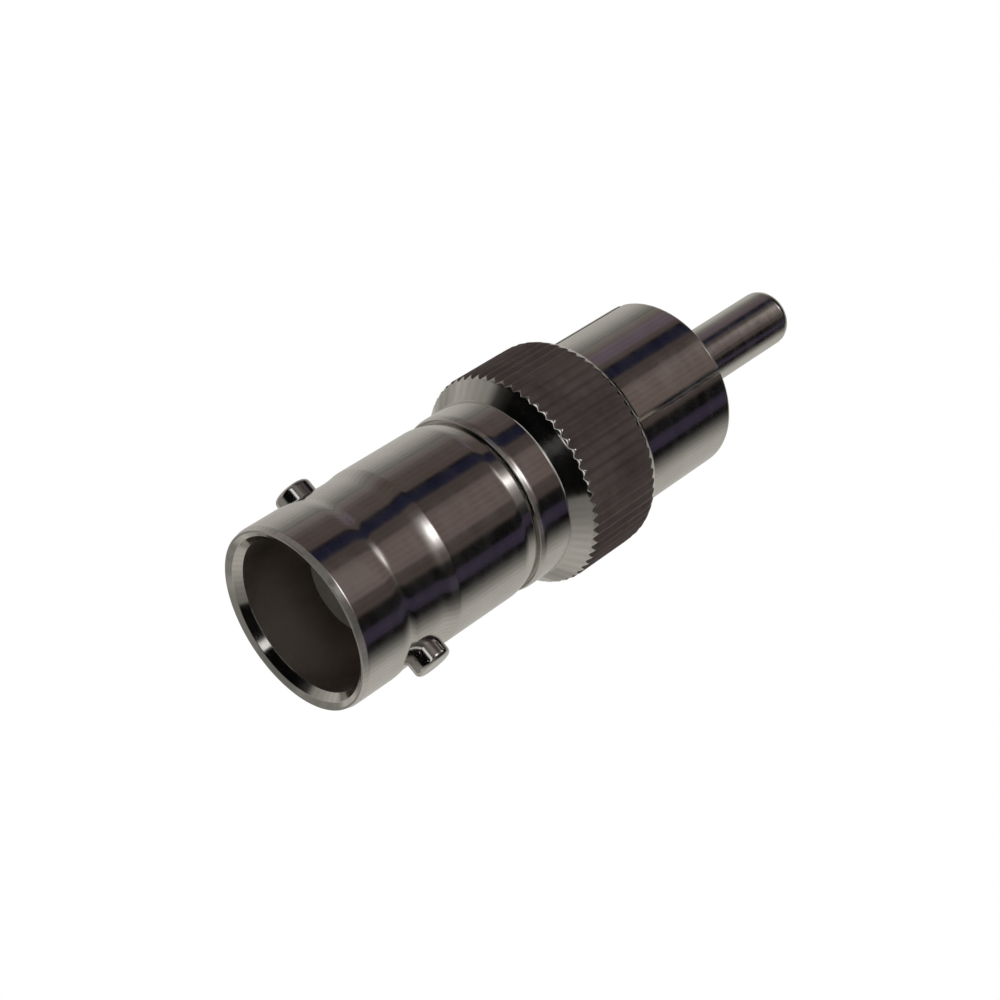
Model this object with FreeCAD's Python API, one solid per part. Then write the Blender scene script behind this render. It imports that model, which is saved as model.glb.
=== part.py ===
import FreeCAD, Part
import math
import os

# Coaxial adapter: a bayonet socket at one end and a phono plug at the other.
# It is a stack of turned pieces pressed together on one axis.
# The axis is +Z. The socket's mouth is in the plane Z = 0 and the plug's pin points up.
# The two bayonet lugs lie on the X axis. All sizes are in millimetres.

os.makedirs("parts", exist_ok=True)

# Fits
press_gap = 0.01        # left all round between a pressed piece and its hole
slip_gap = 0.02         # left all round between an insulator or a contact and its hole
seat_gap = 0.05         # room behind the spigot's end, so that the shell seats on its shoulder
solder_gap = 0.3        # room for solder at both ends of the joint inside the pin

# Bayonet socket shell
mouth_bore_d = 8.14     # takes the mating plug's barrel
mouth_bore_depth = 8.3
mouth_wall = 0.755
mouth_taper = 0.085     # how much smaller the rim is than the collar
mouth_taper_length = 0.33
rim_width = 0.1         # flat ring at the very end
rim_crown = 0.26        # width of the shallow slope inside the ring
rim_crown_depth = 0.15
lead_in_depth = 0.38    # of the steeper slope from there down to the bore
collar_length = 2.77    # from the mouth to the relief
relief_depth = 0.115    # the lugs stand in this shallow relief
relief_length = 3.05    # its front slope included
relief_bow = 0.03       # how much shallower the relief is at its ends than in its middle
front_slope = 0.4       # length of the slope down into the relief
rear_slope = 0.45       # length of the slope up to the barrel
barrel_step = 0.015     # how much lower the barrel is than the collar
barrel_length = 5.55
barrel_end = 0.2        # chamfer at the barrel's rear shoulder
spigot_step = 0.71      # how much lower the pressed spigot is than the barrel
spigot_length = 3.95
flange_length = 1.2     # inner flange that the front insulator seats on
flange_height = 0.8

# Bayonet lugs
lug_d = 2.0
lug_reach = 0.675       # height over the collar
lug_setback = 1.68      # from the collar's end to the lugs' centre
lug_edge = 0.25

# Front insulator
nose_d = 4.76
nose_setback = 3.3      # the nose's face, below the mouth
nose_edge = 0.08

# Centre contact: a slotted socket for a 1.35 mm pin
contact_bore_d = 1.38
contact_bore_depth = 4.9
contact_wall = 0.34
contact_recess = 0.45   # the contact's end, below the nose's face
contact_length = 5.95   # from its end to its shoulder
contact_lead_in = 0.12
contact_slots = 4
contact_slot_width = 0.2
contact_slot_depth = 4.2
shoulder_length = 0.8   # the shoulder stops the contact from being pushed out
tail_d = 1.5            # soldered into the phono pin
tail_length = 3.8

# Knurled body
land_step = 0.065       # how much higher the plain land is than the barrel
land_length = 2.05      # from the seam to the bevel
land_taper = 0.08       # how much smaller the land is at the seam
land_taper_length = 0.3
body_wall = 1.025       # over the phono shell
knurl_length = 5.73     # its 45 degree bevel included
knurl_edge = 0.25       # chamfer at the body's rear face
knurl_pitch = 0.59      # along the outside
knurl_depth = 0.11
knurl_angle = 120.0     # included angle of each groove
body_web = 1.05         # inner flange between the front and rear bores

# Phono shell
phono_bore_d = 8.3
phono_wall = 0.635
phono_reach = 7.05      # from the body's rear face to the open end
phono_edge = 0.2
phono_lead_in = 0.12
slit_count = 4
slit_width = 0.3
slit_length = 6.4
slit_turn = 25.4        # first slit, turned from the lugs' axis

# Rear insulator
plug_depth = 5.88       # from the shell's open end to the insulator's face
rear_insulator_edge = 0.15
boss_wall = 0.58        # of the boss that stands in the body's web

# Phono pin
pin_d = 3.17
pin_reach = 9.59        # past the shell's open end
pin_tip_round = 1.2
pin_seat_step = 0.35    # the pin is this much larger where the insulators hold it
pin_collar_height = 0.45
pin_collar_length = 0.8

# Radii that follow from the sizes above
mouth_bore_r = mouth_bore_d / 2
mouth_r = mouth_bore_r + mouth_wall
barrel_r = mouth_r - barrel_step
spigot_r = barrel_r - spigot_step
nose_r = nose_d / 2
flange_hole_r = nose_r + slip_gap
shell_rear_bore_r = flange_hole_r + flange_height
contact_r = contact_bore_d / 2 + contact_wall
tail_r = tail_d / 2
pin_r = pin_d / 2
pin_seat_r = pin_r + pin_seat_step
pin_collar_r = pin_seat_r + pin_collar_height
boss_r = pin_collar_r + slip_gap + boss_wall
web_hole_r = boss_r + slip_gap
phono_bore_r = phono_bore_d / 2
phono_r = phono_bore_r + phono_wall
body_rear_bore_r = phono_r + press_gap
land_r = barrel_r + land_step
knurl_r = body_rear_bore_r + body_wall
lug_r = lug_d / 2
lug_tip_r = mouth_r + lug_reach

# Heights that follow, from the mouth up
lug_z = collar_length + lug_setback
relief_to = collar_length + relief_length
barrel_from = relief_to + rear_slope
seam_z = barrel_from + barrel_length
flange_z = mouth_bore_depth
flange_rear_z = flange_z + flange_length
contact_z = nose_setback + contact_recess
shoulder_z = contact_z + contact_length
shoulder_rear_z = shoulder_z + shoulder_length
tail_end_z = shoulder_rear_z + tail_length
pin_from = shoulder_rear_z + solder_gap
spigot_end_z = seam_z + spigot_length
web_z = spigot_end_z + seat_gap
phono_seat_z = web_z + body_web
pin_collar_end_z = web_z + pin_collar_length
bevel_z = seam_z + land_length
knurl_to = bevel_z + knurl_length
phono_to = knurl_to + phono_reach
rear_insulator_z = phono_to - plug_depth
pin_to = phono_to + pin_reach

axis = FreeCAD.Vector(0, 0, 1)
tiny = 1e-4             # two places nearer than this are the same place


# Shared shapes

def turned(corners):
    """Solid turned about Z from the (radius, height) corners of its half section."""
    points = [FreeCAD.Vector(radius, 0, height) for radius, height in corners]
    section = Part.Face(Part.makePolygon(points + points[:1]))
    return section.revolve(FreeCAD.Vector(0, 0, 0), axis, 360)


def rim(shape, radius, height):
    """The circular edges of a turned shape at one radius and height."""
    found = []
    for edge in shape.Edges:
        box = edge.BoundBox
        level = abs(box.ZMin - height) < tiny and abs(box.ZMax - height) < tiny
        if level and abs(box.XMax - radius) < tiny:
            found.append(edge)
    return found


def around(shape, count, first_angle):
    """Copies of a shape, evenly turned about Z, as one compound."""
    copies = []
    for i in range(count):
        copy = shape.copy()
        copy.rotate(FreeCAD.Vector(0, 0, 0), axis, first_angle + i * 360.0 / count)
        copies.append(copy)
    return Part.makeCompound(copies)


def saw_blade(width, reach, z_from, z_to):
    """Blade of a saw that cuts from the axis out along +X."""
    start = FreeCAD.Vector(0, -width / 2, z_from)
    return Part.makeBox(reach, width, z_to - z_from, start)


def lug_rod(radius, inner, outer, side):
    """Cylinder along the lugs' axis, on the +X side or the -X side."""
    start = FreeCAD.Vector(side * inner, 0, lug_z)
    return Part.makeCylinder(radius, outer - inner, start, FreeCAD.Vector(side, 0, 0))


# The pieces

def socket_shell():
    """Turned shell: collar, relief, barrel and spigot outside, mouth bore and flange inside."""
    relief_r = mouth_r - relief_depth
    rim_r = mouth_r - mouth_taper
    crown_r = rim_r - rim_width
    shell = turned([
        (mouth_bore_r, rim_crown_depth + lead_in_depth),
        (crown_r - rim_crown, rim_crown_depth),
        (crown_r, 0),
        (rim_r, 0),
        (mouth_r, mouth_taper_length),
        (mouth_r, collar_length),
        (relief_r + relief_bow, collar_length + front_slope),
        (relief_r, collar_length + relief_length / 2),
        (relief_r + relief_bow, relief_to),
        (barrel_r, barrel_from),
        (barrel_r, seam_z),
        (spigot_r, seam_z),
        (spigot_r, spigot_end_z),
        (shell_rear_bore_r, spigot_end_z),
        (shell_rear_bore_r, flange_rear_z),
        (flange_hole_r, flange_rear_z),
        (flange_hole_r, flange_z),
        (mouth_bore_r, flange_z),
    ])
    shell = shell.makeChamfer(barrel_end, rim(shell, barrel_r, seam_z))
    for side in (1, -1):
        shell = shell.cut(lug_rod(lug_r + press_gap, mouth_bore_r / 2, lug_tip_r, side))
    return shell


def bayonet_lug(side):
    """Round pin pressed through the shell's wall and reamed flush with the mouth bore."""
    lug = lug_rod(lug_r, mouth_bore_r / 2, lug_tip_r, side)
    tip = [edge for edge in lug.Edges if abs(edge.CenterOfMass.x - side * lug_tip_r) < tiny]
    lug = lug.makeChamfer(lug_edge, tip)
    reamer_from = FreeCAD.Vector(0, 0, lug_z - lug_d)
    return lug.cut(Part.makeCylinder(mouth_bore_r, 2 * lug_d, reamer_from))


def front_insulator():
    """Nose that stands in the mouth, with a body behind the shell's flange."""
    body_r = shell_rear_bore_r - slip_gap
    contact_hole_r = contact_r + slip_gap
    pin_hole_r = pin_seat_r + slip_gap
    insulator = turned([
        (contact_hole_r, nose_setback),
        (nose_r, nose_setback),
        (nose_r, flange_rear_z),
        (body_r, flange_rear_z),
        (body_r, web_z),
        (pin_hole_r, web_z),
        (pin_hole_r, shoulder_z),
        (contact_hole_r, shoulder_z),
    ])
    return insulator.makeChamfer(nose_edge, rim(insulator, nose_r, nose_setback))


def centre_contact():
    """Slotted socket in front, a shoulder that the insulator holds, and a tail behind."""
    bore_r = contact_bore_d / 2
    bore_end_z = contact_z + contact_bore_depth
    contact = turned([
        (0, bore_end_z),
        (bore_r, bore_end_z),
        (bore_r, contact_z),
        (contact_r, contact_z),
        (contact_r, shoulder_z),
        (pin_seat_r, shoulder_z),
        (pin_seat_r, shoulder_rear_z),
        (tail_r, shoulder_rear_z),
        (tail_r, tail_end_z),
        (0, tail_end_z),
    ])
    contact = contact.makeChamfer(contact_lead_in, rim(contact, bore_r, contact_z))
    slot_end_z = contact_z + contact_slot_depth
    slot = saw_blade(contact_slot_width, 2 * contact_r, contact_z - contact_r, slot_end_z)
    return contact.cut(around(slot, contact_slots, 0))


def knurl_groove():
    """One V groove of the straight knurl, on +X, longer than the knurl at both ends."""
    height = 2 * knurl_depth
    half_width = height * math.tan(math.radians(knurl_angle / 2))
    root_r = knurl_r - knurl_depth
    root = FreeCAD.Vector(root_r, 0, bevel_z)
    left = FreeCAD.Vector(root_r + height, half_width, bevel_z)
    right = FreeCAD.Vector(root_r + height, -half_width, bevel_z)
    section = Part.Face(Part.makePolygon([root, left, right, root]))
    return section.extrude(axis * (2 * knurl_length))


def knurled_body():
    """Land, bevel and straight knurl outside, a stepped bore inside."""
    front_bore_r = spigot_r + press_gap
    bevel_end_z = bevel_z + knurl_r - land_r
    blank = turned([
        (front_bore_r, seam_z),
        (land_r - land_taper, seam_z),
        (land_r, seam_z + land_taper_length),
        (land_r, bevel_z),
        (knurl_r, bevel_end_z),
        (knurl_r, knurl_to),
        (body_rear_bore_r, knurl_to),
        (body_rear_bore_r, phono_seat_z),
        (web_hole_r, phono_seat_z),
        (web_hole_r, web_z),
        (front_bore_r, web_z),
    ])
    blank = blank.makeChamfer(knurl_edge, rim(blank, knurl_r, knurl_to))
    teeth = round(2 * math.pi * knurl_r / knurl_pitch)
    return blank.cut(around(knurl_groove(), teeth, 0))


def phono_shell():
    """Outer contact of the phono plug: a tube whose open end is sawn into springy fingers."""
    tube = turned([
        (phono_bore_r, phono_seat_z),
        (phono_r, phono_seat_z),
        (phono_r, phono_to),
        (phono_bore_r, phono_to),
    ])
    tube = tube.makeChamfer(phono_edge, rim(tube, phono_r, phono_to))
    tube = tube.makeChamfer(phono_lead_in, rim(tube, phono_bore_r, phono_to))
    slit_end_z = phono_to - slit_length
    blade = saw_blade(slit_width, 2 * phono_r, slit_end_z, phono_to + slit_width)
    slit_end = FreeCAD.Vector(0, 0, slit_end_z)
    round_end = Part.makeCylinder(slit_width / 2, 2 * phono_r, slit_end, FreeCAD.Vector(1, 0, 0))
    return tube.cut(around(blade.fuse(round_end), slit_count, slit_turn))


def rear_insulator():
    """Flanged bush that holds the pin in the middle of the phono shell."""
    flange_r = phono_bore_r - slip_gap
    pin_hole_r = pin_seat_r + slip_gap
    collar_hole_r = pin_collar_r + slip_gap
    insulator = turned([
        (collar_hole_r, web_z),
        (boss_r, web_z),
        (boss_r, phono_seat_z),
        (flange_r, phono_seat_z),
        (flange_r, rear_insulator_z),
        (pin_hole_r, rear_insulator_z),
        (pin_hole_r, pin_collar_end_z),
        (collar_hole_r, pin_collar_end_z),
    ])
    return insulator.makeChamfer(rear_insulator_edge, rim(insulator, flange_r, rear_insulator_z))


def phono_pin():
    """Round-nosed pin, with a collar between the insulators and a hole for the contact's tail."""
    hole_r = tail_r + press_gap
    hole_end_z = tail_end_z + solder_gap
    pin = turned([
        (0, hole_end_z),
        (hole_r, hole_end_z),
        (hole_r, pin_from),
        (pin_seat_r, pin_from),
        (pin_seat_r, web_z),
        (pin_collar_r, web_z),
        (pin_collar_r, pin_collar_end_z),
        (pin_seat_r, pin_collar_end_z),
        (pin_seat_r, rear_insulator_z),
        (pin_r, rear_insulator_z),
        (pin_r, pin_to),
        (0, pin_to),
    ])
    return pin.makeFillet(pin_tip_round, rim(pin, pin_r, pin_to))


pieces = {
    "socket_shell": socket_shell(),
    "bayonet_lug_right": bayonet_lug(1),
    "bayonet_lug_left": bayonet_lug(-1),
    "front_insulator": front_insulator(),
    "centre_contact": centre_contact(),
    "knurled_body": knurled_body(),
    "phono_shell": phono_shell(),
    "rear_insulator": rear_insulator(),
    "phono_pin": phono_pin(),
}

for name, shape in pieces.items():
    shape.exportStep("parts/" + name + ".step")
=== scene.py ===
import math
from collections import namedtuple

import bpy
import numpy as np
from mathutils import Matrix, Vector


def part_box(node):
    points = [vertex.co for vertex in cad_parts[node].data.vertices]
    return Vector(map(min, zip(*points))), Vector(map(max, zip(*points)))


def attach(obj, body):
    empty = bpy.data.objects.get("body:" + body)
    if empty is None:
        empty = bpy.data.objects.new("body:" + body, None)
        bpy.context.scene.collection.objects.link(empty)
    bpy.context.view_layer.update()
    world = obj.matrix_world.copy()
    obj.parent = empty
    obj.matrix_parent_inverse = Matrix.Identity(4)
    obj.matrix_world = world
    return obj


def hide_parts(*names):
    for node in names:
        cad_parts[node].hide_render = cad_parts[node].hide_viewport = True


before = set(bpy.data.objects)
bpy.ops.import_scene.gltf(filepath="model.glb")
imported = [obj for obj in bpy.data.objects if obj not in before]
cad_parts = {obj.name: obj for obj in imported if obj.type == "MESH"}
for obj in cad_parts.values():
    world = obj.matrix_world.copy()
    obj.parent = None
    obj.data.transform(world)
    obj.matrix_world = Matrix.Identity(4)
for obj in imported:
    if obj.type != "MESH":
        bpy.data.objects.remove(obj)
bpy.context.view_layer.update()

# Coaxial adapter: a bayonet socket at one end and a phono plug at the other.
# Sizes are written in millimetres, as on a drawing, and MM turns them into metres.
# The axis is +Z, the socket's mouth is in the plane Z = 0, and the lugs lie on the X axis.

MM = 0.001
X_AXIS = 0
Z_AXIS = 2


def low(node, axis):
    """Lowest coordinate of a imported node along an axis, in millimetres."""
    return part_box(node)[0][axis] / MM


def high(node, axis):
    """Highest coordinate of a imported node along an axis, in millimetres."""
    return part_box(node)[1][axis] / MM


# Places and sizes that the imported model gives
mouth_r = high("socket_shell", X_AXIS)
spigot_end_z = high("socket_shell", Z_AXIS)
lug_tip_r = high("bayonet_lug_right", X_AXIS)
lug_z = (low("bayonet_lug_right", Z_AXIS) + high("bayonet_lug_right", Z_AXIS)) / 2
nose_z = low("front_insulator", Z_AXIS)
web_z = high("front_insulator", Z_AXIS)
contact_z = low("centre_contact", Z_AXIS)
tail_end_z = high("centre_contact", Z_AXIS)
seam_z = low("knurled_body", Z_AXIS)
knurl_to = high("knurled_body", Z_AXIS)
knurl_r = high("knurled_body", X_AXIS)
phono_seat_z = low("phono_shell", Z_AXIS)
phono_to = high("phono_shell", Z_AXIS)
phono_r = high("phono_shell", X_AXIS)
rear_insulator_z = high("rear_insulator", Z_AXIS)
pin_from = low("phono_pin", Z_AXIS)
pin_to = high("phono_pin", Z_AXIS)

# Sizes that the boxes don't give
press_gap = 0.01
slip_gap = 0.02
solder_gap = 0.3
mouth_bore_r = 4.07
mouth_bore_depth = 8.3
mouth_taper = 0.085     # how much smaller the rim is than the collar
mouth_taper_length = 0.33
rim_width = 0.1         # flat ring at the very end
rim_crown = 0.26        # width of the shallow slope inside the ring
rim_crown_depth = 0.15
lead_in_depth = 0.4     # of the steeper slope from there down to the bore
collar_length = 2.77
relief_depth = 0.115
relief_to = 5.6
relief_bow = 0.03       # how much shallower the relief is in front than in its middle
front_slope = 0.5
rear_slope = 0.67
barrel_step = 0.015
barrel_end = 0.15
barrel_crown = 0.15     # how far the barrel draws in just before its end
barrel_crown_length = 0.95
spigot_step = 0.71
flange_length = 1.2
flange_height = 0.8
lug_r = 1.0
lug_edge = 0.25
nose_r = 2.38
contact_bore_r = 0.69
contact_bore_depth = 4.9
contact_wall = 0.34
contact_length = 5.95
contact_slots = 4
contact_slot_width = 0.2
contact_slot_depth = 4.2
shoulder_length = 0.8
tail_r = 0.75
land_step = 0.065
land_length = 2.05
land_taper = 0.08
land_taper_length = 0.3
knurl_edge = 0.35       # chamfer behind the knurl
knurl_teeth = 62
knurl_depth = 0.13
knurl_slope = 1 / math.tan(math.radians(60))    # the grooves are 120 degrees wide
phono_bore_r = 4.15
slit_count = 4
slit_width = 0.3
slit_length = 6.4
slit_turn = 25.4        # degrees from the X axis to the first slit
pin_r = 1.585
pin_seat_r = 1.935
pin_collar_r = 2.385
pin_collar_length = 0.8
boss_wall = 0.58

# Radii that the corners of the turned shapes are rounded to
burr = 0.03             # where an edge is sharp
lead_in_round = 0.1
rim_round = 0.05
taper_round = 0.3
relief_front_round = 3
relief_middle_round = 20
relief_rear_round = 6
barrel_front_round = 0.8
barrel_crown_round = 2
barrel_end_round = 0.15
barrel_face_round = 0.1
nose_round = 0.08
contact_tip_round = 0.12
land_front_round = 0.05
land_taper_round = 0.9
land_rear_round = 0.15
grip_rear_round = 0.02
phono_tip_round = 0.3
phono_bore_round = 0.12
bush_round = 0.15
pin_tip_round = 1.4

# How softly the knurl's surfaces run into each other, as widths
bevel_blend = 0.2
chamfer_blend = 0.5
crest_blend = 0.05
groove_blend = 0.04

barrel_r = mouth_r - barrel_step
spigot_r = barrel_r - spigot_step
land_r = barrel_r + land_step
contact_r = contact_bore_r + contact_wall
flange_z = mouth_bore_depth
flange_rear_z = flange_z + flange_length
flange_hole_r = nose_r + slip_gap
shell_rear_bore_r = flange_hole_r + flange_height
shoulder_z = contact_z + contact_length
shoulder_rear_z = shoulder_z + shoulder_length
bevel_z = seam_z + land_length
bevel_end_z = bevel_z + knurl_r - land_r
root_r = knurl_r - knurl_depth
boss_r = pin_collar_r + slip_gap + boss_wall

# How finely the meshes are cut
sides_round = 256       # facets round the large turned pieces
sides_small = 128       # facets round the small ones
arc_steps = 6           # facets across a rounded corner
tooth_steps = 12        # facets across one tooth of the knurl
bevel_rows = 31         # rows of the knurl on its bevel, on its level part and on its chamfer
level_rows = 8
chamfer_rows = 21
most_of_side = 0.49     # share of a section's side that one rounded corner may take


# Turned shapes

Corner = namedtuple("Corner", "r z round")


def corner(r, z, round_r=burr):
    """Corner of a half section, with the radius that it is rounded to."""
    return Corner(r, z, round_r)


def bend(here, before, after):
    """Points and outward normals of the arc that rounds one corner of a section."""
    a = np.array([here.r - before.r, here.z - before.z])
    b = np.array([after.r - here.r, after.z - here.z])
    length_a = np.linalg.norm(a)
    length_b = np.linalg.norm(b)
    a = a / length_a
    b = b / length_b
    if here.round == 0:
        return [np.array([here.r, here.z])], [(a[1], -a[0])]
    turn = math.atan2(a[0] * b[1] - a[1] * b[0], a @ b)
    slack = math.tan(abs(turn) / 2)
    reach = min(here.round * slack, most_of_side * length_a, most_of_side * length_b)
    spoke = np.array([a[1], -a[0]]) * math.copysign(reach / slack, turn)
    centre = np.array([here.r, here.z]) - a * reach - spoke
    points = []
    normals = []
    for k in range(arc_steps + 1):
        swing = turn * k / arc_steps
        c, s = math.cos(swing), math.sin(swing)
        rotate = np.array([[c, -s], [s, c]])
        way = rotate @ a
        points.append(centre + rotate @ spoke)
        normals.append((way[1], -way[0]))
    return points, normals


def rounded(corners):
    """Points and outward normals of a half section whose corners are rounded.

    The corners run round the section with the metal on the left of their way.
    A corner on the axis, or one with no radius, stays as it is."""
    points = []
    normals = []
    for i, here in enumerate(corners):
        before = corners[i - 1]
        after = corners[(i + 1) % len(corners)]
        if here.r == 0:
            points.append(np.array([0, here.z]))
            normals.append((0, 1 if before.r > 0 else -1))
            continue
        more_points, more_normals = bend(here, before, after)
        points.extend(more_points)
        normals.extend(more_normals)
    return list(zip(points, normals))


def add_object(name, data):
    """Object with this data, in the scene and at its origin."""
    thing = bpy.data.objects.new(name, data)
    bpy.context.scene.collection.objects.link(thing)
    return thing


def new_mesh(name, vertices, faces):
    """Mesh from vertices in millimetres."""
    mesh = bpy.data.meshes.new(name)
    mesh.from_pydata((np.asarray(vertices) * MM).tolist(), [], faces)
    return mesh


def smooth_object(name, vertices, faces, normals):
    """Smooth mesh object from vertices in millimetres and their normals."""
    mesh = new_mesh(name, vertices, faces)
    mesh.shade_smooth()
    mesh.normals_split_custom_set_from_vertices(np.asarray(normals).tolist())
    return add_object(name, mesh)


def ring(point, normal, angles):
    """Row of vertices and normals about Z through one point of a half section."""
    (r, z), (out_r, out_z) = point, normal
    if r == 0:
        return np.array([[0, 0, z]]), np.array([[0, 0, out_z]])
    c, s = np.cos(angles), np.sin(angles)
    level = np.ones(len(angles))
    points = np.stack([r * c, r * s, z * level], 1)
    normals = np.stack([out_r * c, out_r * s, out_z * level], 1)
    return points, normals


def loft(name, rows):
    """Closed solid through rows of vertices, the last row joined to the first."""
    sides = max(len(points) for points, _ in rows)
    vertices = np.concatenate([points for points, _ in rows])
    normals = np.concatenate([normals for _, normals in rows])
    places = []
    first = 0
    for points, _ in rows:
        places.append(list(range(first, first + sides)) if len(points) > 1 else [first] * sides)
        first += len(points)
    faces = []
    for i, near in enumerate(places):
        far = places[(i + 1) % len(places)]
        if near[0] == near[1] and far[0] == far[1]:
            continue
        for k in range(sides):
            m = (k + 1) % sides
            face = [near[k], near[m], far[m], far[k]]
            faces.append([v for n, v in enumerate(face) if v != face[n - 1]])
    return smooth_object(name, vertices, faces, normals)


def round_angles(sides):
    """Evenly spaced angles of one turn."""
    return np.linspace(0, 2 * np.pi, sides, endpoint=False)


def turned(name, corners, sides=sides_round):
    """Closed solid of revolution about Z from the corners of its half section."""
    angles = round_angles(sides)
    return loft(name, [ring(point, normal, angles) for point, normal in rounded(corners)])


# Slotted tubes

slot_edge = 0.04        # radius of the edges along a slot
slot_edge_turns = (90, 60, 30, 0)   # degrees round that edge, from the slot's wall outward
slot_bottom_steps = 8   # facets across a slot's bottom
finger_steps = 48       # facets across a finger's face

Column = namedtuple("Column", "angle offset turn")


def slot_angle(slot, count, first_angle):
    """Angle of one of the slots, evenly spaced from the first."""
    return math.radians(first_angle) + 2 * math.pi * slot / count


def slot_columns(count, width, first_angle):
    """Columns of vertices round a slotted tube.

    A column is set by a slot's angle, its distance from the slot's middle plane, and how far it is
    turned round the slot's edge. One on the slot's bottom has None as its turn. One on a finger's
    face has "face" there, and its share of the way across that face as its offset."""
    edge = []
    for turn in slot_edge_turns:
        edge.append((width / 2 + slot_edge * (1 - math.cos(math.radians(90 - turn))), turn))
    columns = []
    for slot in range(count):
        angle = slot_angle(slot, count, first_angle)
        for reach, turn in reversed(edge):
            columns.append(Column(angle, -reach, turn))
        for k in range(1, slot_bottom_steps):
            columns.append(Column(angle, width * (k / slot_bottom_steps - 0.5), None))
        for reach, turn in edge:
            columns.append(Column(angle, reach, turn))
        for k in range(1, finger_steps):
            columns.append(Column(angle, k / finger_steps, "face"))
    return columns


def slotted(name, corners, base_z, count, width, first_angle, round_end, opens):
    """Turned tube whose end is sawn into fingers, from base_z to the end that it opens at.

    The section has a plain corner on base_z on both of its sides. opens is 1 where the fingers
    point up and -1 where they point down."""
    tiny = 1e-6
    section = rounded(corners)
    columns = slot_columns(count, width, first_angle)
    edge_reach = width / 2 + slot_edge
    vertices = []
    normals = []

    def add(place, normal):
        vertices.append(place)
        normals.append(normal)
        return len(vertices) - 1

    def vertex(point, normal, column, above, on_base):
        r, z = point
        out_r, out_z = normal
        if column.turn == "face":
            start = column.angle + math.asin(edge_reach / r)
            end = column.angle + 2 * math.pi / count - math.asin(edge_reach / r)
            angle = start + (end - start) * column.offset
            c, s = math.cos(angle), math.sin(angle)
            return add((r * c, r * s, z), (out_r * c, out_r * s, out_z))
        lean = math.radians(column.turn) if column.turn and above else 0
        inset = slot_edge * (1 - math.cos(lean)) if above else 0
        r -= out_r * inset
        z -= out_z * inset
        angle = column.angle + math.asin(column.offset / r)
        if column.turn is None and on_base and round_end:
            z -= opens * math.sqrt(width ** 2 / 4 - column.offset ** 2)
        c, s = math.cos(angle), math.sin(angle)
        side = math.copysign(1, column.offset)
        away = np.array([math.sin(column.angle), -math.cos(column.angle), 0]) * side
        face = np.array([out_r * c, out_r * s, out_z])
        tilted = face * math.cos(lean) + away * math.sin(lean)
        return add((r * c, r * s, z), tuple(tilted))

    places = []
    heights = []
    for point, normal in section:
        above = opens * (point[1] - base_z) > tiny
        on_base = abs(point[1] - base_z) < tiny
        if point[0] == 0:
            places.append([add((0, 0, point[1]), (0, 0, normal[1]))] * len(columns))
        else:
            row = []
            for column in columns:
                gone = column.turn is None and above
                row.append(None if gone else vertex(point, normal, column, above, on_base))
            places.append(row)
        heights.append((above, on_base))

    faces = []
    for i, near in enumerate(places):
        far = places[(i + 1) % len(places)]
        for k in range(len(columns)):
            m = (k + 1) % len(columns)
            face = [near[k], near[m], far[m], far[k]]
            if None in face:
                continue
            face = [v for n, v in enumerate(face) if v != face[n - 1]]
            if len(face) > 2:
                faces.append(face)

    # The chain of rows from one base row over the fingers' end to the other, for the slots' walls
    base_rows = [i for i, (above, on_base) in enumerate(heights) if on_base]
    chain = list(range(base_rows[0], base_rows[1] + 1))
    for slot in range(count):
        angle = slot_angle(slot, count, first_angle)
        across = np.array([-math.sin(angle), math.cos(angle), 0])
        slot_start = slot * (2 * len(slot_edge_turns) + slot_bottom_steps - 1 + finger_steps - 1)
        left = slot_start + len(slot_edge_turns) - 1
        right = left + slot_bottom_steps
        for column, side in ((left, -1), (right, 1)):
            wall = [add(vertices[places[i][column]], tuple(-side * across)) for i in chain]
            faces.append(wall[::side])
        bottom = []
        for i in (base_rows[0], base_rows[1]):
            row = []
            for k in range(left, right + 1):
                share = 2 * (k - left) / slot_bottom_steps - 1
                rise = math.sqrt(max(0, 1 - share ** 2)) if round_end else 1
                normal = -across * share * (1 if round_end else 0) + np.array([0, 0, opens * rise])
                row.append(add(vertices[places[i][k]], tuple(normal)))
            bottom.append(row)
        for k in range(slot_bottom_steps):
            faces.append([bottom[0][k], bottom[0][k + 1], bottom[1][k + 1], bottom[1][k]][::-1])
    return smooth_object(name, vertices, faces, normals)


# The pieces

def socket_shell():
    """Collar, relief, barrel and spigot outside, mouth bore and flange inside."""
    relief_r = mouth_r - relief_depth
    rim_r = mouth_r - mouth_taper
    crown_r = rim_r - rim_width
    bore_z = rim_crown_depth + lead_in_depth
    shell = turned("shell_turned", [
        corner(mouth_bore_r, bore_z),
        corner(crown_r - rim_crown, rim_crown_depth, lead_in_round),
        corner(crown_r, 0, rim_round),
        corner(rim_r, 0, rim_round),
        corner(mouth_r, mouth_taper_length, taper_round),
        corner(mouth_r, collar_length, relief_front_round),
        corner(relief_r + relief_bow, collar_length + front_slope, relief_front_round),
        corner(relief_r, (collar_length + relief_to) / 2, relief_middle_round),
        corner(relief_r, relief_to, relief_rear_round),
        corner(barrel_r, relief_to + rear_slope, barrel_front_round),
        corner(barrel_r, seam_z - barrel_crown_length, barrel_crown_round),
        corner(barrel_r - barrel_crown, seam_z - barrel_end, barrel_end_round),
        corner(barrel_r - barrel_crown - barrel_end, seam_z, barrel_face_round),
        corner(spigot_r, seam_z),
        corner(spigot_r, spigot_end_z),
        corner(shell_rear_bore_r, spigot_end_z),
        corner(shell_rear_bore_r, flange_rear_z),
        corner(flange_hole_r, flange_rear_z),
        corner(flange_hole_r, flange_z),
        corner(mouth_bore_r, flange_z),
    ])
    # The bore's faces get the second material, whose lighter colour is painted light for the dim
    # inside of the mouth
    for face in shell.data.polygons:
        r = math.hypot(face.center.x, face.center.y) / MM
        face.material_index = int(r < mouth_bore_r + burr and face.center.z / MM > bore_z)
    return shell


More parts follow.
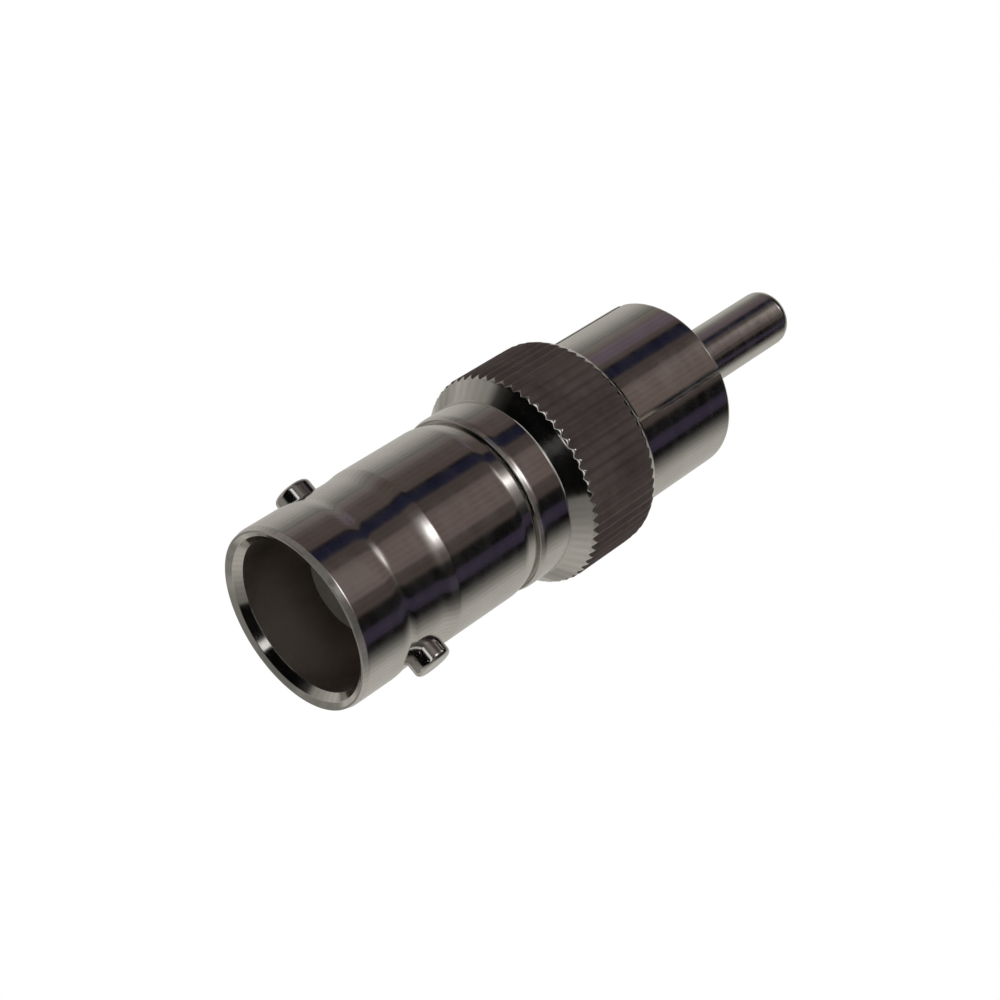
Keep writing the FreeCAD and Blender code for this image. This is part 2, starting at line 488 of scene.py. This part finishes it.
def bayonet_lug(name, side):
    """Round pin that stands through the shell's wall, with a broken edge at its tip."""
    inner = mouth_bore_r - press_gap
    angles = round_angles(sides_small)
    rows = []
    for point, normal in rounded([
        corner(0, inner),
        corner(lug_r, inner),
        corner(lug_r, lug_tip_r, lug_edge),
        corner(0, lug_tip_r),
    ]):
        points, normals = ring(point, normal, angles)
        outward = points[:, 2]
        if point[1] < (inner + lug_tip_r) / 2:
            outward = outward - inner + np.sqrt(inner ** 2 - points[:, 0] ** 2)
        points = np.stack([side * outward, side * points[:, 0], lug_z + points[:, 1]], 1)
        rows.append((points, normals[:, [2, 0, 1]] * np.array([side, side, 1])))
    return loft(name, rows)


def front_insulator():
    """White nose in the mouth, with a wider body behind the shell's flange."""
    body_r = shell_rear_bore_r - slip_gap
    contact_hole_r = contact_r + slip_gap
    pin_hole_r = pin_seat_r + slip_gap
    return turned("nose_turned", [
        corner(contact_hole_r, nose_z),
        corner(nose_r, nose_z, nose_round),
        corner(nose_r, flange_rear_z),
        corner(body_r, flange_rear_z),
        corner(body_r, web_z),
        corner(pin_hole_r, web_z),
        corner(pin_hole_r, shoulder_z),
        corner(contact_hole_r, shoulder_z),
    ], sides_small)


def centre_contact():
    """Slotted socket in front, a shoulder that the insulator holds, and a tail behind."""
    bore_end_z = contact_z + contact_bore_depth
    base_z = contact_z + contact_slot_depth
    return slotted("contact_sawn", [
        corner(0, bore_end_z),
        corner(contact_bore_r, bore_end_z),
        corner(contact_bore_r, base_z, 0),
        corner(contact_bore_r, contact_z, contact_tip_round),
        corner(contact_r, contact_z, contact_tip_round),
        corner(contact_r, base_z, 0),
        corner(contact_r, shoulder_z),
        corner(pin_seat_r, shoulder_z),
        corner(pin_seat_r, shoulder_rear_z),
        corner(tail_r, shoulder_rear_z),
        corner(tail_r, tail_end_z),
        corner(0, tail_end_z),
    ], base_z, contact_slots, contact_slot_width, 0, False, -1)


def smaller(a, b, blend):
    """The smaller of two heights, with the crossing rounded over a width of blend."""
    mix = np.clip(0.5 + 0.5 * (b - a) / blend, 0, 1)
    return b * (1 - mix) + a * mix - blend * mix * (1 - mix)


def knurl_skin(z):
    """Radius of the knurled surface as it was turned, before its grooves were rolled."""
    bevel = land_r + (z - bevel_z)
    chamfer = knurl_r + (knurl_to - knurl_edge - z)
    return smaller(smaller(bevel, knurl_r, bevel_blend), chamfer, chamfer_blend)


def groove_height(angles):
    """Radius of the grooves' flanks, which cross between the teeth's crests."""
    pitch = 2 * math.pi / knurl_teeth
    from_groove = ((angles + pitch / 2) % pitch - pitch / 2) * knurl_r
    return root_r + knurl_slope * (np.sqrt(from_groove ** 2 + groove_blend ** 2) - groove_blend)


def knurl_height(angles, z):
    """Radius of the knurled surface, at one height."""
    return smaller(knurl_skin(z), groove_height(angles), crest_blend)


def knurl_row(angles, z):
    """Row of vertices and normals on the knurled surface."""
    small = 1e-4
    r = knurl_height(angles, z)
    along = (knurl_height(angles, z + small) - knurl_height(angles, z - small)) / (2 * small)
    around = (knurl_height(angles + small, z) - knurl_height(angles - small, z)) / (2 * small * r)
    c, s = np.cos(angles), np.sin(angles)
    normals = np.stack([c + around * s, s - around * c, -along], 1)
    normals /= np.linalg.norm(normals, axis=1)[:, None]
    return np.stack([r * c, r * s, np.full(len(angles), z)], 1), normals


def knurled_body():
    """Land, bevel and straight knurl outside, a stepped bore inside.

    The rows with teeth stand between a plain foot on the bevel and a plain heel on the chamfer."""
    angles = round_angles(knurl_teeth * tooth_steps)
    front_bore_r = spigot_r + press_gap
    rear_bore_r = phono_r + press_gap
    web_hole_r = boss_r + slip_gap
    foot_depth = 0.1        # of the foot under the grooves' bottoms
    foot_r = root_r - foot_depth
    foot_z = bevel_z + foot_r - land_r
    heel_step = 0.04        # from the heel to the rear face
    heel_z = knurl_to - heel_step
    heel_r = knurl_r - knurl_edge + heel_step
    section = rounded([
        corner(front_bore_r, seam_z),
        corner(land_r - land_taper, seam_z, land_front_round),
        corner(land_r, seam_z + land_taper_length, land_taper_round),
        corner(land_r, bevel_z, land_rear_round),
        corner(foot_r, foot_z, 0),
        corner(heel_r, heel_z, 0),
        corner(knurl_r - knurl_edge, knurl_to, grip_rear_round),
        corner(rear_bore_r, knurl_to),
        corner(rear_bore_r, phono_seat_z),
        corner(web_hole_r, phono_seat_z),
        corner(web_hole_r, web_z),
        corner(front_bore_r, web_z),
    ])
    margin = 0.3            # of the level part, where the rows are still close together
    level_z = (bevel_end_z + margin, knurl_to - knurl_edge - margin)
    tooth_z = np.concatenate([
        np.linspace(foot_z, level_z[0], bevel_rows, endpoint=False),
        np.linspace(*level_z, level_rows),
        np.linspace(level_z[1], heel_z, chamfer_rows + 1)[1:],
    ])
    rows = []
    for point, normal in section:
        if point[1] == foot_z:
            rows.extend(knurl_row(angles, z) for z in tooth_z)
        elif point[1] != heel_z:
            rows.append(ring(point, normal, angles))
    body = loft("body_knurled", rows)
    # Painted shade: the knurl's grooves and level part get the darker second material
    paint_knurl_shade(body, foot_r, foot_z)
    return body


def paint_knurl_shade(body, foot_r, foot_z):
    """Give the grooves and the level part of the knurl the second material, which is rougher and
    painted darker: its dark colour is painted shade for the shadow of the knurled band and its
    grooves.

    The turned bevel and the teeth's tips at both ends keep the bright plate."""
    front_margin = 0.12     # of the level part, where the tips are still bright
    rear_margin = 0.2
    slack = 0.01            # how far a flank may be outside the turned skin and still count as cut
    shade_from = bevel_end_z + front_margin
    shade_to = knurl_to - knurl_edge - rear_margin
    for face in body.data.polygons:
        r = math.hypot(face.center.x, face.center.y) / MM
        z = face.center.z / MM
        angle = math.atan2(face.center.y, face.center.x)
        in_groove = z > foot_z and groove_height(angle) < knurl_skin(z) + slack
        face.material_index = int(r > foot_r and (in_groove or shade_from < z < shade_to))


def phono_shell():
    """Outer contact of the phono plug: a tube whose open end is sawn into springy fingers."""
    slit_end_z = phono_to - slit_length
    return slotted("shell_sawn", [
        corner(phono_bore_r, phono_seat_z),
        corner(phono_r, phono_seat_z),
        corner(phono_r, slit_end_z, 0),
        corner(phono_r, phono_to, phono_tip_round),
        corner(phono_bore_r, phono_to, phono_bore_round),
        corner(phono_bore_r, slit_end_z, 0),
    ], slit_end_z, slit_count, slit_width, slit_turn, True, 1)


def rear_insulator():
    """Flanged bush that holds the pin in the middle of the phono shell."""
    collar_hole_r = pin_collar_r + slip_gap
    pin_hole_r = pin_seat_r + slip_gap
    flange_r = phono_bore_r - slip_gap
    return turned("bush_turned", [
        corner(collar_hole_r, web_z),
        corner(boss_r, web_z),
        corner(boss_r, phono_seat_z),
        corner(flange_r, phono_seat_z),
        corner(flange_r, rear_insulator_z, bush_round),
        corner(pin_hole_r, rear_insulator_z),
        corner(pin_hole_r, web_z + pin_collar_length),
        corner(collar_hole_r, web_z + pin_collar_length),
    ], sides_small)


def phono_pin():
    """Round-nosed pin, with a collar between the insulators and a hole for the contact's tail."""
    hole_r = tail_r + press_gap
    return turned("pin_turned", [
        corner(0, tail_end_z + solder_gap),
        corner(hole_r, tail_end_z + solder_gap),
        corner(hole_r, pin_from),
        corner(pin_seat_r, pin_from),
        corner(pin_seat_r, web_z),
        corner(pin_collar_r, web_z),
        corner(pin_collar_r, web_z + pin_collar_length),
        corner(pin_seat_r, web_z + pin_collar_length),
        corner(pin_seat_r, rear_insulator_z),
        corner(pin_r, rear_insulator_z),
        corner(pin_r, pin_to, pin_tip_round),
        corner(0, pin_to),
    ], sides_small)


# Materials

class Nodes:
    """Short way to add and link the nodes of one material or world."""

    def __init__(self, holder):
        holder.use_nodes = True
        self.tree = holder.node_tree
        self.tree.nodes.clear()

    def add(self, kind, **settings):
        """New node of a kind, with its settings."""
        node = self.tree.nodes.new(kind)
        for name, value in settings.items():
            setattr(node, name, value)
        return node

    def link(self, output, socket):
        """Link an output to an input socket."""
        self.tree.links.new(output, socket)

    def surface(self, output, kind="ShaderNodeOutputMaterial"):
        """Use a shader as the surface of the material or world."""
        self.link(output, self.add(kind).inputs["Surface"])

    def noise(self, place, detail, size):
        """Noise in the object's own space, its size in millimetres along X, Y and Z.

        Most of its values are between 0.35 and 0.65."""
        mapping = self.add("ShaderNodeMapping")
        mapping.inputs["Scale"].default_value = [1 / (MM * length) for length in size]
        self.link(place, mapping.inputs["Vector"])
        noise = self.add("ShaderNodeTexNoise")
        noise.inputs["Scale"].default_value = 1
        noise.inputs["Detail"].default_value = detail
        self.link(mapping.outputs["Vector"], noise.inputs["Vector"])
        return noise.outputs["Fac"]

    def ramp(self, value, stops):
        """Colour ramp from (position, colour) stops."""
        node = self.add("ShaderNodeValToRGB")
        while len(node.color_ramp.elements) < len(stops):
            node.color_ramp.elements.new(0.5)
        for element, (position, colour) in zip(node.color_ramp.elements, stops):
            element.position = position
            element.color = (*colour, 1)
        self.link(value, node.inputs["Fac"])
        return node.outputs["Color"]

    def span(self, value, given, wanted):
        """Value moved from the given range to the wanted one and kept inside it."""
        node = self.add("ShaderNodeMapRange")
        node.inputs["From Min"].default_value = given[0]
        node.inputs["From Max"].default_value = given[1]
        node.inputs["To Min"].default_value = wanted[0]
        node.inputs["To Max"].default_value = wanted[1]
        self.link(value, node.inputs["Value"])
        return node.outputs["Result"]

    def larger(self, a, b):
        """The larger of two values."""
        node = self.add("ShaderNodeMath", operation="MAXIMUM")
        self.link(a, node.inputs[0])
        self.link(b, node.inputs[1])
        return node.outputs["Value"]

    def bump(self, height, strength, distance):
        """Normal of a surface with these heights, over a distance in millimetres."""
        node = self.add("ShaderNodeBump")
        node.inputs["Strength"].default_value = strength
        node.inputs["Distance"].default_value = distance * MM
        self.link(height, node.inputs["Height"])
        return node.outputs["Normal"]


def nickel(name, dull, bright, rough, lines):
    """Nickel plate: slightly uneven in colour and gloss, with faint turning lines."""
    material = bpy.data.materials.new(name)
    nodes = Nodes(material)
    place = nodes.add("ShaderNodeTexCoord").outputs["Object"]
    shader = nodes.add("ShaderNodeBsdfPrincipled")
    shader.inputs["Metallic"].default_value = 1
    cloud = nodes.noise(place, detail=3, size=(3, 3, 3))
    nodes.link(nodes.ramp(cloud, [(0.35, dull), (0.6, bright)]), shader.inputs["Base Color"])
    smear = nodes.noise(place, detail=4, size=(1.5, 1.5, 0.6))
    nodes.link(nodes.span(smear, (0.35, 0.65), rough), shader.inputs["Roughness"])
    turning = nodes.noise(place, detail=2, size=(6, 6, 0.05))
    nodes.link(nodes.bump(turning, strength=lines, distance=0.001), shader.inputs["Normal"])
    nodes.surface(shader.outputs["BSDF"])
    return material


def plastic(name, dull, bright, rough):
    """Turned insulator plastic, a little uneven."""
    material = bpy.data.materials.new(name)
    nodes = Nodes(material)
    place = nodes.add("ShaderNodeTexCoord").outputs["Object"]
    shader = nodes.add("ShaderNodeBsdfPrincipled")
    cloud = nodes.noise(place, detail=3, size=(1, 1, 1))
    nodes.link(nodes.ramp(cloud, [(0.35, dull), (0.65, bright)]), shader.inputs["Base Color"])
    grain = nodes.noise(place, detail=2, size=(0.1, 0.1, 0.1))
    nodes.link(nodes.span(grain, (0.3, 0.7), rough), shader.inputs["Roughness"])
    nodes.link(nodes.bump(grain, strength=0.3, distance=0.005), shader.inputs["Normal"])
    nodes.surface(shader.outputs["BSDF"])
    return material


# Camera and studio

camera_azimuth = 13.12      # degrees round from -Y towards +X


def camera():
    """Camera at the photograph's place, turned by its small yaw and pitch and by its roll."""
    distance = 102.613
    elevation = math.radians(-35.623)
    azimuth = math.radians(camera_azimuth)
    yaw = math.radians(0.287)
    pitch = math.radians(-0.529)
    roll = math.radians(57.205)
    aim = Vector((0, 0, 14.77))
    right = Vector((math.cos(azimuth), math.sin(azimuth), 0))
    level = Vector((math.sin(azimuth), -math.cos(azimuth), 0))
    spoke = level * math.cos(elevation) + Vector((0, 0, math.sin(elevation)))
    place = aim + distance * spoke
    ahead = -spoke
    up = right.cross(ahead)
    look = (ahead * math.cos(yaw) + right * math.sin(yaw)) * math.cos(pitch) + up * math.sin(pitch)
    right = look.cross(up).normalized()
    up = right.cross(look)
    across = right * math.cos(roll) + up * math.sin(roll)
    upright = up * math.cos(roll) - right * math.sin(roll)
    data = bpy.data.cameras.new("camera")
    data.sensor_width = 36
    data.lens = 73.245
    data.clip_start = 1 * MM
    data.clip_end = 10000 * MM
    lens = add_object("camera", data)
    matrix = lens.matrix_world.copy()
    for row in range(3):
        matrix[row][0] = across[row]
        matrix[row][1] = upright[row]
        matrix[row][2] = -look[row]
        matrix[row][3] = place[row] * MM
    lens.matrix_world = matrix
    bpy.context.scene.camera = lens


# The tent's places are degrees: round the object from the camera's side, and above the horizon.

# A card of the tent: its middle and half width round the object, its middle and half height, how
# soft its edges are, and its light.
Card = namedtuple("Card", "azimuth half_width elevation half_height soft light")

white = np.array([1.0, 1.0, 1.0])
warm = np.array([1.0, 0.98, 0.92])
brown = np.array([1.0, 0.77, 0.71])
dusk = np.array([0.65, 0.5, 1.0])
navy = np.array([0.25, 0.28, 1.0])

cards = [
    Card(-1, 37, 33, 28, 5, 0.065 * brown),     # dim walls over the camera
    Card(-1, 20, 33, 28, 5, 0.08 * brown),
    Card(-76, 20, 33, 28, 6, 0.09 * brown),
    Card(-74, 10, 42, 4.5, 5, 0.07 * dusk),
    Card(-45, 7, 33, 28, 5, 0.028 * navy),
    Card(62, 8, 33, 28, 5, 0.05 * dusk),
    Card(-65, 50, -1, 10, 10, 0.17 * warm),     # low bands along the camera's side
    Card(50, 50, -1, 10, 20, 0.12 * warm),
    Card(80, 22, -1, 10, 40, 0.16 * warm),
    Card(-6, 50, -23, 6, 4, 1.0 * white),       # band under them that glints on the knurl's tips
    Card(-6, 7, -46.5, 2, 2, 1.6 * white),      # glints on the far side of the mouth
]

# A round soft light: its middle and spread round the object, its middle and spread in height, and
# its light.
Spot = namedtuple("Spot", "azimuth width elevation height light")

spots = [
    Spot(-2, 8, 55, 4, 1.9 * white),            # glints on the barrel's end
    Spot(8, 26, 56, 5, 0.22 * white),
    Spot(-14, 11, 50, 4, 0.65 * white),         # glints on the slopes of the relief
    Spot(4, 22, 21, 5, 0.3 * white),
    Spot(0, 12, 13, 5, 3.0 * white),
    Spot(-2, 8, 6, 4, 1.0 * white),             # glints on the tapers
]

# An edge between two parts of the tent: its place and how soft it is.
Edge = namedtuple("Edge", "place soft")

wall_light = 0.5 * warm
ceiling_light = 0.3 * warm
dark_light = 0.002 * white      # what the flags and the dark walls still give
ceiling_edge = Edge(62, 16)     # elevation where the wall ends
high_flag = (Edge(106, 64), Edge(97, 44))       # left and right edges of the flag over the camera
low_flag_edge = Edge(-18, 10)                   # elevation where it ends and two others begin
low_flags = [
    (0.4, Edge(97, 8), Edge(60, 6)),            # the share that each stops and its edges
    (0.6, Edge(112, 75), Edge(95, 50)),
]
floor_dimming = 0.5             # how much darker the tent is near the floor
floor_edge = Edge(-55, 10)      # elevation where that begins
rear_floor_edge = Edge(-21, 6)  # and where it begins behind the object
rear_edge = Edge(125, 20)
band_dimming = 0.35             # how much darker a band behind the object is
band_middle = 4
band_edge = Edge(10, 8)
band_end = Edge(138, 14)
ripple = 0.12                   # how unevenly the tent's cloth is lit, and over how many degrees
ripple_turn = 7.5


def fade(distance, place, soft):
    """1 up to an edge's place and 0 beyond it, with a smooth change between them."""
    share = np.clip((place - distance) / soft + 0.5, 0, 1)
    return share * share * (3 - 2 * share)


def open_share(azimuth, left, right):
    """Share of the light that a dark flag lets by, with its edges left and right."""
    return 1 - np.minimum(fade(-azimuth, *left), fade(azimuth, *right))


def tent_light(azimuth, elevation):
    """Light of the tent round the object, by degrees from the camera's side and the horizon."""
    high = open_share(azimuth, *high_flag)
    low = sum(share * open_share(azimuth, left, right) for share, left, right in low_flags)
    under = fade(elevation, *low_flag_edge)
    wall = fade(elevation, *ceiling_edge)
    light = (wall_light * wall + ceiling_light * (1 - wall)) * (high * (1 - under) + low * under)
    behind = 1 - fade(abs(azimuth), *rear_edge)
    near_floor = max(fade(elevation, *floor_edge), behind * fade(elevation, *rear_floor_edge))
    band = (1 - fade(abs(azimuth), *band_end)) * fade(abs(elevation - band_middle), *band_edge)
    light = light * (1 - floor_dimming * near_floor) * (1 - band_dimming * band) + dark_light
    for card in cards:
        mask = fade(abs(azimuth - card.azimuth), card.half_width, card.soft)
        mask = mask * fade(abs(elevation - card.elevation), card.half_height, card.soft)
        light = light + card.light * mask
    light = light * (1 + ripple * math.sin(2 * math.pi * azimuth / ripple_turn))
    for spot in spots:
        away = ((azimuth - spot.azimuth) / spot.width) ** 2
        away += ((elevation - spot.elevation) / spot.height) ** 2
        light = light + spot.light * math.exp(-away)
    return light


def emission(name, colour_attribute):
    """Material that shines with the colours painted on a mesh's points."""
    material = bpy.data.materials.new(name)
    nodes = Nodes(material)
    paint = nodes.add("ShaderNodeVertexColor", layer_name=colour_attribute)
    glow = nodes.add("ShaderNodeEmission")
    nodes.link(paint.outputs["Color"], glow.inputs["Color"])
    nodes.surface(glow.outputs["Emission"])
    return material


def tent():
    """Round light tent with dark flags on the camera's side, seen only in reflections."""
    radius = 20000
    steps_round = 240
    steps_up = 90
    vertices = []
    light = []
    for i in range(steps_up + 1):
        elevation = -90 + 180 * i / steps_up
        for k in range(steps_round):
            azimuth = -180 + 360 * k / steps_round
            turn = math.radians(azimuth + camera_azimuth)
            level = radius * math.cos(math.radians(elevation))
            height = radius * math.sin(math.radians(elevation))
            vertices.append((level * math.sin(turn), -level * math.cos(turn), height))
            light.append((*tent_light(azimuth, elevation), 1))
    faces = []
    for i in range(steps_up):
        for k in range(steps_round):
            m = (k + 1) % steps_round
            a, b = i * steps_round, (i + 1) * steps_round
            faces.append([a + k, a + m, b + m, b + k])
    mesh = new_mesh("tent", vertices, faces)
    paint = mesh.color_attributes.new("light", "FLOAT_COLOR", "POINT")
    paint.data.foreach_set("color", np.array(light).ravel())
    mesh.materials.append(emission("tent_light", "light"))
    dome = add_object("tent", mesh)
    dome.visible_camera = False
    dome.visible_diffuse = False
    dome.visible_shadow = False
    dome.visible_transmission = False


def backdrop():
    """White surroundings, and the plain light that they give, most of it from above."""
    world = bpy.data.worlds.new("backdrop")
    bpy.context.scene.world = world
    nodes = Nodes(world)
    path = nodes.add("ShaderNodeLightPath").outputs
    seen = nodes.larger(path["Is Camera Ray"], path["Is Glossy Ray"])
    seen = nodes.larger(seen, path["Is Transmission Ray"])
    split = nodes.add("ShaderNodeSeparateXYZ")
    nodes.link(nodes.add("ShaderNodeTexCoord").outputs["Generated"], split.inputs["Vector"])
    horizon = (-0.2, 0.2)
    from_below_and_above = (0.03, 0.9)
    given = nodes.span(split.outputs["Z"], horizon, from_below_and_above)
    light = nodes.add("ShaderNodeBackground")
    light.inputs["Color"].default_value = (1, 1, 1, 1)
    nodes.link(nodes.larger(given, seen), light.inputs["Strength"])
    nodes.surface(light.outputs["Background"], "ShaderNodeOutputWorld")


def floor_paint():
    """Pale matt paint that is seen from above and clear from below."""
    material = bpy.data.materials.new("floor_pale")
    nodes = Nodes(material)
    side = nodes.add("ShaderNodeNewGeometry")
    paint = nodes.add("ShaderNodeBsdfDiffuse")
    paint.inputs["Color"].default_value = (0.93, 0.93, 0.92, 1)
    clear = nodes.add("ShaderNodeBsdfTransparent")
    mix = nodes.add("ShaderNodeMixShader")
    nodes.link(side.outputs["Backfacing"], mix.inputs["Fac"])
    nodes.link(paint.outputs["BSDF"], mix.inputs[1])
    nodes.link(clear.outputs["BSDF"], mix.inputs[2])
    nodes.surface(mix.outputs["Shader"])
    return material


def floor():
    """Pale floor under the adapter. It is seen from above only, because the photograph looks up
    at the socket's mouth from below."""
    reach = 4000
    corners = [(-reach, -reach, 0), (reach, -reach, 0), (reach, reach, 0), (-reach, reach, 0)]
    mesh = new_mesh("floor", corners, [(0, 1, 2, 3)])
    mesh.materials.append(floor_paint())
    plane = add_object("floor", mesh)
    plane.visible_shadow = False
    plane.visible_glossy = False
    plane.visible_diffuse = False
    plane.visible_transmission = False


def key_lamp():
    """Broad square lamp over the camera's left, in no reflection: the tent gives the highlights."""
    azimuth = -40           # degrees from the camera's side
    elevation = 55
    distance = 600
    aim = Vector((0, 0, 15))
    turn = math.radians(azimuth + camera_azimuth)
    rise = math.radians(elevation)
    spoke = Vector((
        math.sin(turn) * math.cos(rise),
        -math.cos(turn) * math.cos(rise),
        math.sin(rise),
    ))
    data = bpy.data.lights.new("key", "AREA")
    data.size = 400 * MM
    data.energy = 0.6
    key = add_object("key", data)
    key.location = (aim + spoke * distance) * MM
    key.rotation_euler = spoke.to_track_quat("Z", "Y").to_euler()
    key.visible_glossy = False


# Assembly

camera()
bpy.context.scene.view_settings.view_transform = "Standard"
backdrop()
tent()
floor()
key_lamp()

dull_nickel = (0.61, 0.585, 0.55)
bright_nickel = (0.68, 0.655, 0.62)
plate = nickel("nickel_bright", dull_nickel, bright_nickel, rough=(0.09, 0.15), lines=0.05)
# The knurl's material: its high roughness is the knurl's own dull finish, and its dark brownish
# colour is painted shade for the shadow of the knurled band and its grooves
knurl_painted_shade = nickel("nickel_knurled_painted_shade", (0.22, 0.184, 0.175), (0.30, 0.252, 0.238), (0.72, 0.82), lines=0.1)
# The bore's material: its higher roughness is the bored surface's own finish, and its colour, paler
# than the plate outside, is painted light that brightens the dark inside of the mouth
bore = nickel("nickel_bored_painted_light", (0.72, 0.66, 0.61), (0.80, 0.74, 0.69), rough=(0.3, 0.38), lines=0.05)
contact = nickel("contact_bright", dull_nickel, bright_nickel, rough=(0.12, 0.2), lines=0.05)
insulator = plastic("insulator_white", (0.60, 0.58, 0.53), (0.70, 0.68, 0.64), rough=(0.4, 0.55))

pieces = [
    (socket_shell(), "socket_shell", plate, "nickel_plate"),
    (bayonet_lug("lug_right_turned", 1), "bayonet_lug_right", plate, "nickel_plate"),
    (bayonet_lug("lug_left_turned", -1), "bayonet_lug_left", plate, "nickel_plate"),
    (front_insulator(), "front_insulator", insulator, "insulator_plastic"),
    (centre_contact(), "centre_contact", contact, "contact_plate"),
    (knurled_body(), "knurled_body", plate, "nickel_plate"),
    (phono_shell(), "phono_shell", plate, "nickel_plate"),
    (rear_insulator(), "rear_insulator", insulator, "insulator_plastic"),
    (phono_pin(), "phono_pin", contact, "contact_plate"),
]
second_material = {"knurled_body": knurl_painted_shade, "socket_shell": bore}
for piece, node, material, slot in pieces:
    piece.data.materials.append(material)
    if node in second_material:
        piece.data.materials.append(second_material[node])
    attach(piece, "root")
    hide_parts(node)
